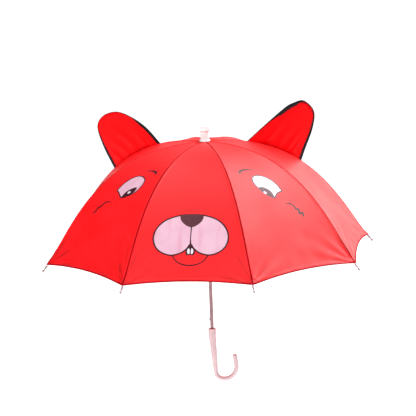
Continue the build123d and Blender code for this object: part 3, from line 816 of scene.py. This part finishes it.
left_eye = eye_print(
    outline=[(23, 203.5), (4, 199.5), (-11, 207), (-21, 220), (-28, 236), (-30.5, 252.5), (-22, 257),
             (-3, 268), (12.5, 260.5), (27, 249), (34.5, 231), (32, 214)],
    pupil=[(19, 233.5), (7, 241.5), (-1, 253), (-3.5, 267), (6, 264), (16.5, 257.5), (25, 247), (25, 236)],
    glint=[(10, 246.5), (6.5, 250.5), (8, 254.5), (12.5, 253), (14.5, 248.5)],
    brow=[(4, 181.5), (15, 178.5), (26, 177), (39, 178.5), (46.5, 187)],
    cheek=[(-29, 284.5), (-38, 286.5), (-45.5, 291), (-50.5, 301), (-57.5, 307), (-59, 314), (-65, 322)],
    weight=1.3, mirror=False,
)
right_eye = eye_print(
    outline=[(17, 208), (8, 202), (-3, 202.5), (-15, 209), (-26.5, 223), (-33.2, 241), (-35.6, 256),
             (-35.6, 260), (-31, 260.2), (-20, 263.5), (-9, 272.5), (-6, 273), (8.5, 259.5), (17.5, 240.5),
             (21, 223)],
    pupil=[(15.5, 237.5), (6, 238.5), (-4.5, 247.5), (-9, 259.5), (-7, 273), (5.5, 263.5), (15, 252.5),
           (18.5, 243)],
    glint=[(9.5, 250.5), (5.5, 252.5), (4.5, 257.5), (9, 258.5), (12, 254)],
    brow=[(-9, 181.5), (8, 177.5), (22, 176.5), (34, 180.5), (37, 188)],
    cheek=[(-25, 291), (-38, 295), (-45, 303), (-47, 312), (-53, 313), (-51, 324), (-59, 324), (-57, 334)],
    weight=1.7, mirror=True,
)
face_prints = {1: muzzle_print(), 2: right_eye, 8: left_eye}


# ---------------------------------------------------------------- canopy

def mark_edges(inks, faces, to_seam, to_hem):
    """The cloth beside the seams and along the hem gets the darker, duller material: painted shade in the
    seam grooves, and a darker band along the hem edge.
    """
    for index, face in enumerate(faces):
        if to_seam[list(face)].mean() < seam_edge or to_hem[list(face)].mean() < hem_edge:
            inks[index] = INKS["edge"]


def make_gore(number):
    """One panel of the canopy, between two ribs, sewn to its neighbours along them."""
    across, along = gore_grid(number)
    prints = face_prints.get(number)
    if prints:
        flat, faces, inks = printed_faces(across, along, prints)
        across, along = flat[:, 0], flat[:, 1]
    else:
        faces = grid_faces(*across.shape)
        inks = np.zeros(len(faces), int)
        across, along = across.ravel(), along.ravel()
    half = half_width(along)
    to_seam = np.maximum(half - np.abs(across), 0)
    to_hem = hem_along(number, across / np.maximum(half, 1 * MM)) - along
    mark_edges(inks, faces, to_seam, to_hem)
    points = gore_surface(number, across, along)
    gore = make_piece(f"gore_{number}_cloth", points, faces, gore_materials, inks)
    face_towards(gore, outward(rib_angle(number + 0.5)))
    set_attribute(gore, "across", across)
    set_attribute(gore, "along", along)
    set_attribute(gore, "to_seam", to_seam)
    set_attribute(gore, "to_hem", to_hem)
    from_corner = (half_chord - np.abs(across), seam.length - along)
    set_attribute(gore, "corner_distance", np.hypot(*from_corner))
    set_attribute(gore, "corner_turn", np.arctan2(*from_corner) + number + 3 * (across > 0))
    thicken(gore, cloth)
    follow_ribs(gore, number, across, along)
    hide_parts(f"canopy_gore_{number}")
    return gore


gore_length = float(hem_along(3, 0.0))
gore_area = float(np.trapz(2 * half_width(seam.distance), seam.distance))
gore_area -= 2 / 3 * 2 * half_chord * (seam.length - gore_length)  # the hem's hollow
gores = {number: make_gore(number) for number in range(1, rib_count + 1)}


# ---------------------------------------------------------------- ribs

def channel_section():
    """Across a rib, millimetres: a U that opens downwards, with soft corners."""
    side, top, wall = rib_half_width / MM, rib_depth / 2 / MM, rib_wall / MM
    inner, under = side - wall, top - wall
    outside = [(-side, -top), (-side, top - 0.4), (-side + 0.4, top), (side - 0.4, top), (side, top - 0.4),
               (side, -top)]
    hollow = [(inner, -top), (inner, under - 0.2), (inner - 0.2, under), (-inner + 0.2, under),
              (-inner, under - 0.2), (-inner, -top)]
    return outside + hollow


def swept(angle, line, stations, section_at):
    """Points of a section swept along a rib; section_at gives its (sideways, outwards) points."""
    rows = []
    for along in stations:
        r, z = line.at(along)
        dr, dz = line.slope(along)
        middle = radial_point(angle, r, z)
        away = radial_point(angle, -dz, dr)
        rows.append([middle + sideways(angle) * x * MM + away * y * MM for x, y in section_at(along)])
    return rows


def closed_tube(rows):
    """Points and faces of a tube through rows of points, with its ends filled."""
    count = len(rows[0])
    faces = [tuple(range(count)), tuple(len(rows) * count - 1 - i for i in range(count))]
    for row in range(len(rows) - 1):
        for i in range(count):
            a, b = row * count + i, row * count + (i + 1) % count
            faces.append((a, a + count, b + count, b))
    return [point for row in rows for point in row], faces


def make_rib(number):
    """A rib from its pivot in the top notch to its tip: pressed flat at the pivot, then a channel."""
    section = channel_section()
    flat_until, open_from = 9 * MM, 17 * MM

    def section_at(along):
        squeeze = float(smooth((along - flat_until) / (open_from - flat_until)))
        narrow = eye_half_width / rib_half_width
        return [(x * (narrow + (1 - narrow) * squeeze), y) for x, y in section]

    end = rib_line.length - 1 * MM
    stations = np.concatenate([[0, 2 * MM], np.linspace(4 * MM, 20 * MM, 12), np.linspace(24 * MM, end, 84)])
    points, faces = closed_tube(swept(rib_angle(number), rib_line, stations, section_at))
    rib = make_piece(f"rib_{number}_steel", points, faces, [rib_steel])
    add_eye(rib, number)
    recalculate(rib)
    mark_sharp(rib, 40)
    bend_with_rib(rib)
    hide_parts(f"rib_{number}", f"rib_outer_{number}")


def add_eye(rib, number):
    """The round eye by which a rib hangs on the notch's wire."""
    angle = rib_angle(number)
    middle = radial_point(angle, pivot_r, pivot_z)
    work = bmesh.new()
    work.from_mesh(rib.data)
    rings = []
    profile = [(eye_hole, -1), (eye_radius - 0.2 * MM, -1), (eye_radius, -0.7), (eye_radius, 0.7),
               (eye_radius - 0.2 * MM, 1), (eye_hole, 1)]
    for step in range(24):
        turn = 2 * math.pi * step / 24
        spoke = radial_point(angle, math.cos(turn), math.sin(turn))
        rings.append([work.verts.new(middle + spoke * r + sideways(angle) * w * eye_half_width)
                      for r, w in profile])
    for step in range(24):
        this, following = rings[step], rings[(step + 1) % 24]
        for i in range(len(profile)):
            j = (i + 1) % len(profile)
            work.faces.new((this[i], this[j], following[j], following[i])).smooth = True
    work.to_mesh(rib.data)
    work.free()


def mark_sharp(piece, degrees):
    """Edges sharper than an angle stay crisp."""
    work = bmesh.new()
    work.from_mesh(piece.data)
    for edge in work.edges:
        if len(edge.link_faces) == 2 and edge.calc_face_angle(0) > math.radians(degrees):
            edge.smooth = False
    work.to_mesh(piece.data)
    work.free()


for number in range(1, rib_count + 1):
    make_rib(number)


# ---------------------------------------------------------------- ears

# Each ear stands in the seam over a rib. Its base runs from one share of the rib line to another,
# and its outline is given as (along the base, above it) in millimetres.
EARS = {
    "right": dict(rib=4, start=0.19, end=0.485, outline=(
        (0, 0), (20, 38), (53, 96), (69, 115), (91, 128), (122, 113), (133, 76), (134, 28), (135, 0))),
    "left": dict(rib=7, start=0.232, end=0.537, outline=(
        (0, 0), (16, 47), (41, 85), (70, 110), (107, 116), (133, 100), (141, 55), (140, 0))),
}
ear_half_gap = 0.25 * MM
ear_sink = 0.7 * MM


def ear_frame(name):
    """Origin, base direction and height direction of an ear, in the rib's half-plane."""
    ear = EARS[name]
    start = np.array(rib_line.at(ear["start"] * rib_line.length))
    end = np.array(rib_line.at(ear["end"] * rib_line.length))
    base = (end - start) / np.linalg.norm(end - start)
    up = np.array([-base[1], base[0]])
    return start + up * rib_inset, base, up


def ear_forwards(name):
    """Unit direction out of an ear's forward face."""
    way = sideways(rib_angle(EARS[name]["rib"]))
    return way * (1 if way[1] < 0 else -1)


def ear_rows(name, margin, columns=56, rows=26):
    """A grid over an ear in its half-plane, as (r, z), and its shares across and up.

    margin(share) is how far inside the outline the grid ends."""
    ear = EARS[name]
    origin, base, up = ear_frame(name)
    rim = spline(flat_points(ear["outline"]), spacing=0.5 * MM)
    shares = np.linspace(0, 1, columns)
    taken = np.linspace(0, 1, len(rim))
    rim = np.stack([np.interp(shares, taken, rim[:, 0]), np.interp(shares, taken, rim[:, 1])], 1)
    inwards = -side_normals(rim)
    inset = np.array([margin(share) for share in shares])
    rim = rim + inwards * inset[:, None]
    rim = origin + rim[:, :1] * base + rim[:, 1:] * up
    seam_from = seam.nearest(*rim[0])
    seam_to = seam.nearest(*rim[-1])
    foot = seam_from + (seam_to - seam_from) * shares
    r, z = seam.at(foot)
    dr, dz = seam.slope(foot)
    foot = np.stack([r + dz * ear_sink, z - dr * ear_sink], 1)
    rise = np.linspace(0, 1, rows)
    grid = foot[:, None] * (1 - rise[None, :, None]) + rim[:, None] * rise[None, :, None]
    return grid, shares, rise


def ear_folds(name, across, rise):
    """Soft folds of an ear's front panel: they start at its base and run out to the edge."""
    if name == "right":
        folds = ((0.30, 0.10, 0.050, 2.72), (0.52, 0.06, 0.045, 2.04), (0.70, -0.04, 0.040, 3.74),
                 (0.83, -0.10, 0.035, 2.72))
    else:
        folds = ((0.22, 0.18, 0.050, 2.55), (0.42, 0.20, 0.055, 3.23), (0.60, 0.14, 0.050, 2.21),
                 (0.80, 0.05, 0.040, 2.55))
    height = 0
    for place, lean, width, height_mm in folds:
        line = place + lean * rise
        ridge = np.exp(-((across - line) / width) ** 2)
        height = height + height_mm * MM * ridge * (1 - smooth(rise * 1.15))
    return height


def ear_panel(name, part, side, margin, material, puff):
    """One panel of an ear. side is 1 for the panel that faces forwards."""
    ear = EARS[name]
    angle = rib_angle(ear["rib"])
    facing = ear_forwards(name) * side
    grid, shares, rise = ear_rows(name, margin)
    across, up = np.meshgrid(shares, rise, indexing="ij")
    crown = (4 * across * (1 - across)) ** 0.6 * (1 - up ** 3) * smooth(up * 5 + 0.15)
    away = ear_half_gap + puff * crown
    if part == "front_panel":
        away = away + ear_folds(name, across, up) * smooth(up * 8)
    near_edge = smooth((up - 0.78) * 5) * (1 - smooth((up - 0.97) * 40))
    ripple = 0.25 * MM * np.sin(across * 70 + 9 * up) * near_edge
    away = away + ripple * np.sin(math.pi * across)
    points = (grid[..., :1] * outward(angle) + grid[..., 1:] * np.array([0.0, 0.0, 1.0])
              + away[..., None] * facing)
    faces = grid_faces(*across.shape)
    panel = make_piece(f"ear_{name}_{part}", points.reshape(-1, 3), faces, [material])
    face_towards(panel, facing)
    set_attribute(panel, "across", grid[..., 0].ravel())
    set_attribute(panel, "along", grid[..., 1].ravel())
    thicken(panel, 0.4 * MM)
    bend_with_rib(panel)
    return panel


def ear_rim(name, part, margin, radius, material, offset):
    """A rolled edge along an ear's outline, moved forwards by an offset."""
    rib = EARS[name]["rib"]
    angle = rib_angle(rib)
    forwards = ear_forwards(name)
    grid = ear_rows(name, margin, columns=110, rows=2)[0]
    path = grid[:, -1]
    sides = 10
    rows = []
    for (r, z), (nr, nz) in zip(path, side_normals(path)):
        ring = []
        for step in range(sides):
            turn = 2 * math.pi * step / sides
            reach = radius * math.cos(turn)
            middle = radial_point(angle, r + nr * reach, z + nz * reach)
            ring.append(middle + forwards * (offset + radius * math.sin(turn)))
        rows.append(ring)
    points, faces = closed_tube(rows)
    rim = make_piece(f"ear_{name}_{part}", points, faces, [material])
    recalculate(rim)
    length = np.concatenate([[0], np.cumsum(np.linalg.norm(np.diff(path, axis=0), axis=1))])
    set_attribute(rim, "along", np.repeat(length, sides))
    set_attribute(rim, "across", np.tile(np.arange(sides) * 0.4 * MM, len(rows)))
    bend_with_rib(rim)
    return rim


def between_shares(share, points):
    """The value at a share, along straight runs between (share, value) pairs."""
    return float(np.interp(share, [p[0] for p in points], [p[1] for p in points]))


# how far the red front panel stays inside the black one, in millimetres, round each outline
RIM_SHOWN = {
    "right": ((0, 2.0), (0.20, 2.4), (0.27, 5.0), (0.33, 9.5), (0.44, 9.5), (0.50, 5.0), (0.55, 2.4),
              (0.62, 3.0), (0.72, 5.0), (0.85, 6.5), (1, 7.5)),
    "left": ((0, 6.5), (0.12, 7.5), (0.22, 6.5), (0.30, 2.0), (0.45, 1.3), (0.66, 1.5), (0.76, 4.0),
             (0.88, 7.0), (1, 7.5)),
}


def make_ear(name):
    """An ear: red front panel with its folded edge, black lining, black back panel and rolled edge."""
    def shown(share):
        return between_shares(share, RIM_SHOWN[name]) * MM

    front = ear_panel(name, "front_panel", 1, shown, ear_red, 2.6 * MM)
    back = ear_panel(name, "back_panel", -1, lambda share: 0.6 * MM, ear_black, 1.4 * MM)
    edge = ear_rim(name, "edge", lambda share: 0.7 * MM, 0.9 * MM, ear_black, 0.0)
    lining = ear_panel(name, "lining", 1, lambda share: 0.6 * MM, ear_black, 0.2 * MM)
    fold = ear_rim(name, "front_fold", shown, 0.55 * MM, ear_red, ear_half_gap + 0.3 * MM)
    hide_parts(f"ear_{name}_front")
    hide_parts(f"ear_{name}_back")
    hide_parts(f"ear_{name}_binding")


make_ear("right")
make_ear("left")


# ---------------------------------------------------------------- closing strap

strap_gore = 5
strap_width = 16 * MM
strap_length = 105 * MM
strap_margin = 6 * MM


def make_strap():
    """The closing strap, folded up against the back of the canopy and sewn at its hem."""
    columns, rows = 15, 70
    across, along = np.meshgrid(np.linspace(-strap_width / 2, strap_width / 2, columns),
                                np.linspace(0, strap_length, rows))
    share = along / strap_length
    tip = smooth((along - strap_length + 5 * MM) / (5 * MM))
    across = across * (1 - 0.35 * tip * tip)
    edge = strap_width / 2 - np.abs(across)
    lift = (1.3 * MM + 0.35 * MM * np.sin(share * 9) * np.sin(math.pi * share)
            + 0.25 * MM * smooth(1 - np.abs(edge - 0.9 * MM) / (0.9 * MM)))
    from_crown = gore_length - strap_margin - along
    shape = gore_surface(strap_gore, across.ravel(), from_crown.ravel(), lift.ravel())
    faces = grid_faces(rows, columns)
    strap = make_piece("closing_strap", shape, faces, [strap_red])
    face_towards(strap, outward(rib_angle(strap_gore + 0.5)))
    set_attribute(strap, "across", across.ravel())
    set_attribute(strap, "along", along.ravel())
    set_attribute(strap, "to_seam", edge.ravel())
    set_attribute(strap, "to_hem", np.minimum(along, strap_length - along).ravel())
    thicken(strap, 0.8 * MM)
    follow_ribs(strap, strap_gore, across.ravel(), from_crown.ravel())
    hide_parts("tie_strap")


def dome_faces(rings, turns):
    """Faces of a dome: a fan round its top point, bands between its rings, and a flat base."""
    faces = [(0, 1 + step, 1 + (step + 1) % turns) for step in range(turns)]
    for ring in range(rings - 1):
        for step in range(turns):
            a = 1 + ring * turns + step
            b = 1 + ring * turns + (step + 1) % turns
            faces.append((a, a + turns, b + turns, b))
    last = 1 + (rings - 1) * turns
    faces.append(tuple(last + step for step in range(turns)))
    return faces


def make_snap():
    """The press stud near the strap's free end: a domed cap with a raised rim and a dimple."""
    profile = [(0, 1.25), (1.6, 1.3), (2.4, 1.55), (3.2, 1.9), (4.2, 1.9), (5.0, 1.5), (5.4, 0.8), (5.4, 0.0)]
    turns = 36
    centre_along = gore_length - strap_margin - strap_length + strap_width / 2
    centre = gore_surface(strap_gore, np.array([0.0]), np.array([centre_along]), np.array([1.6 * MM]))[0]
    ahead = gore_surface(strap_gore, np.array([0.0]), np.array([centre_along + 1 * MM]),
                         np.array([1.6 * MM]))[0] - centre
    ahead = ahead / np.linalg.norm(ahead)
    side = sideways(rib_angle(strap_gore + 0.5))
    up = np.cross(ahead, side)
    if up @ outward(rib_angle(strap_gore + 0.5)) < 0:
        up = -up
    points = [centre + up * profile[0][1] * MM]
    for radius, height in profile[1:]:
        for step in range(turns):
            turn = 2 * math.pi * step / turns
            spoke = ahead * math.cos(turn) + side * math.sin(turn)
            points.append(centre + spoke * radius * MM + up * height * MM)
    snap = make_piece("strap_snap_cap", points, dome_faces(len(profile) - 1, turns), [snap_plastic])
    recalculate(snap)
    mark_sharp(snap, 50)
    follow_ribs(snap, strap_gore, np.zeros(len(points)), np.full(len(points), centre_along))
    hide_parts("strap_snap")


make_strap()
make_snap()


# ---------------------------------------------------------------- finishes of the CAD nodes

def finish_node(name, material):
    node = frame["nodes"][name]
    node.data.materials.clear()
    node.data.materials.append(material)


NODE_FINISHES = {
    "handle": white_plastic, "handle_collar": white_plastic, "ferrule_cap": ferrule_plastic,
    "crown_washer": ferrule_plastic, "runner": white_plastic, "top_notch": notch_plastic,
    "shaft_tube": shaft_steel, "shaft_pins": spring_steel, "notch_wire": spring_steel,
    "runner_wire": spring_steel, "top_catch": spring_steel, "lower_catch": spring_steel,
}
for name, material in NODE_FINISHES.items():
    finish_node(name, material)
for number in range(1, rib_count + 1):
    finish_node(f"stretcher_{number}", rib_steel)
    finish_node(f"rib_tip_{number}", tip_plastic_painted_shade)


# ---------------------------------------------------------------- camera, light and floor

def make_camera():
    """The photograph's view: nearly head-on from a little above, from far away."""
    azimuth, elevation, roll = math.radians(8.28), math.radians(12.25), math.radians(-2.21)
    distance = 24 * canopy_radius
    back = Vector((math.sin(azimuth) * math.cos(elevation), -math.cos(azimuth) * math.cos(elevation),
                   math.sin(elevation)))
    right = Vector((math.cos(azimuth), math.sin(azimuth), 0))
    up = back.cross(right)
    camera_x = right * math.cos(roll) + up * math.sin(roll)
    camera_y = up * math.cos(roll) - right * math.sin(roll)
    target = (Vector((0, 0, rim_z)) + camera_x * -0.0064 * canopy_radius
              + camera_y * 0.248 * canopy_radius)
    data = bpy.data.cameras.new("camera")
    data.lens = 346.15
    data.sensor_width = 36
    data.clip_end = 60
    camera = bpy.data.objects.new("camera", data)
    place = Matrix((camera_x, camera_y, back)).transposed().to_4x4()
    place.translation = target + back * distance
    camera.matrix_world = place
    bpy.context.scene.collection.objects.link(camera)
    bpy.context.scene.camera = camera


def area_light(name, direction, distance, size, power, glossy=True, colour=(1, 1, 1)):
    """A softbox that faces the canopy from a direction."""
    data = bpy.data.lights.new(name, "AREA")
    data.shape = "DISK"
    data.size = size
    data.energy = power
    data.color = colour
    light = bpy.data.objects.new(name, data)
    towards = Vector(direction).normalized()
    light.location = Vector((0, 0, rim_z)) + towards * distance
    light.rotation_euler = towards.to_track_quat("Z", "Y").to_euler()
    light.visible_glossy = glossy
    light.visible_camera = False
    bpy.context.scene.collection.objects.link(light)


def make_floor():
    """A plain pale floor well below the umbrella, so that no shadow reaches the view."""
    s = Shading("floor_white", (0.93, 0.93, 0.93), 0.9)
    s.shader.inputs["Emission Color"].default_value = (1, 1, 1, 1)
    s.shader.inputs["Emission Strength"].default_value = 0.9
    cloud = s.noise(0.6, 2)
    material = s.finish(s.mix(s.between(cloud, 0.3, 0.7, 0.0, 1.0), (0.94, 0.94, 0.94), (0.92, 0.92, 0.92)))
    half, height = 14.0, -0.62
    corners = [(-half, -half, height), (half, -half, height), (half, half, height), (-half, half, height)]
    mesh = bpy.data.meshes.new("floor")
    mesh.from_pydata(corners, [], [(0, 1, 2, 3)])
    mesh.materials.append(material)
    floor = bpy.data.objects.new("floor", mesh)
    bpy.context.scene.collection.objects.link(floor)


def make_world():
    """A pale studio: bright low behind the umbrella, dimmer elsewhere, and plain to the camera."""
    world = bpy.data.worlds.new("studio")
    world.use_nodes = True
    nodes, links = world.node_tree.nodes, world.node_tree.links
    background = nodes["Background"]
    background.inputs["Color"].default_value = (1.0, 1.0, 1.0, 1)
    split = nodes.new("ShaderNodeSeparateXYZ")
    links.new(nodes.new("ShaderNodeTexCoord").outputs["Generated"], split.inputs[0])
    behind = nodes.new("ShaderNodeMapRange")
    links.new(split.outputs["Y"], behind.inputs["Value"])
    for name, value in (("From Min", 0.6), ("From Max", 0.98), ("To Min", 0.04), ("To Max", 0.7)):
        behind.inputs[name].default_value = value
    rays = nodes.new("ShaderNodeLightPath")
    strength = nodes.new("ShaderNodeMix")
    links.new(rays.outputs["Is Camera Ray"], strength.inputs["Factor"])
    links.new(behind.outputs["Result"], strength.inputs["A"])
    strength.inputs["B"].default_value = 0.92
    links.new(strength.outputs["Result"], background.inputs["Strength"])
    bpy.context.scene.world = world


make_camera()
area_light("key_right", (0.56, 0.27, 0.77), 3.0, 3.4, 170)
area_light("front_fill", (-0.45, -1.0, 0.5), 4.0, 3.0, 130, glossy=False)
area_light("back_right", (0.42, 0.90, 0.18), 3.0, 1.8, 15)
area_light("top_fill", (-0.1, 0.0, 1.0), 4.0, 3.0, 60, glossy=False)
make_floor()
make_world()
bpy.context.scene.view_settings.view_transform = "Standard"
